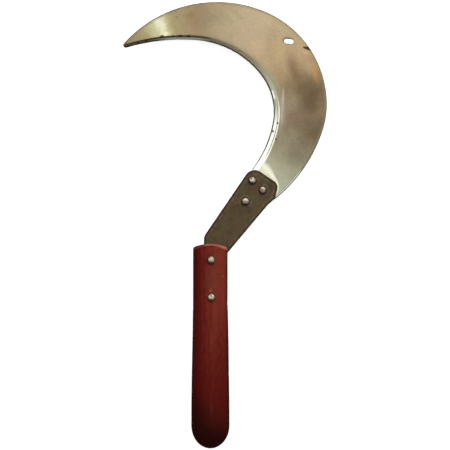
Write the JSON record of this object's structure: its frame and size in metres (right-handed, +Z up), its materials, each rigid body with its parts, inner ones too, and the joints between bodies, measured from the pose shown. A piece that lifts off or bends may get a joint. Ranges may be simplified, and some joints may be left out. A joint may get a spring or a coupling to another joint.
{
  "type": "hand sickle",
  "caption": "Hand sickle: a crescent steel blade with a ground inner edge and a hanging hole, riveted to a cranked shank in a turned wooden handle.",
  "frame": {"origin": "on the surface that the sickle lies on, under the middle of its bounding box", "axes": "+Y from the handle's butt towards the blade, +Z up out of the blade's ground face, +X to the right as the ground face is seen with the handle nearest"},
  "size_m": [0.1496, 0.3274, 0.0282],
  "materials": {
    "blade_steel": "worn polished sheet with a warm tan tarnish, brighter on the ground edge",
    "shank_steel": "dark brown mill scale, matt",
    "handle_wood": "red-brown stain, satin, worn lighter at the top edge",
    "rivet_steel": "hammered bright heads",
    "washer_steel": "dull stamped steel"
  },
  "bodies": {
    "root": {"blade": "blade_steel", "shank": "shank_steel", "handle": "handle_wood", "blade_rivet_1": "rivet_steel", "blade_rivet_2": "rivet_steel", "blade_rivet_3": "rivet_steel", "handle_rivet_1": "rivet_steel", "handle_rivet_2": "rivet_steel", "handle_washer_1": "washer_steel", "handle_washer_2": "washer_steel"}
  },
  "joints": []
}
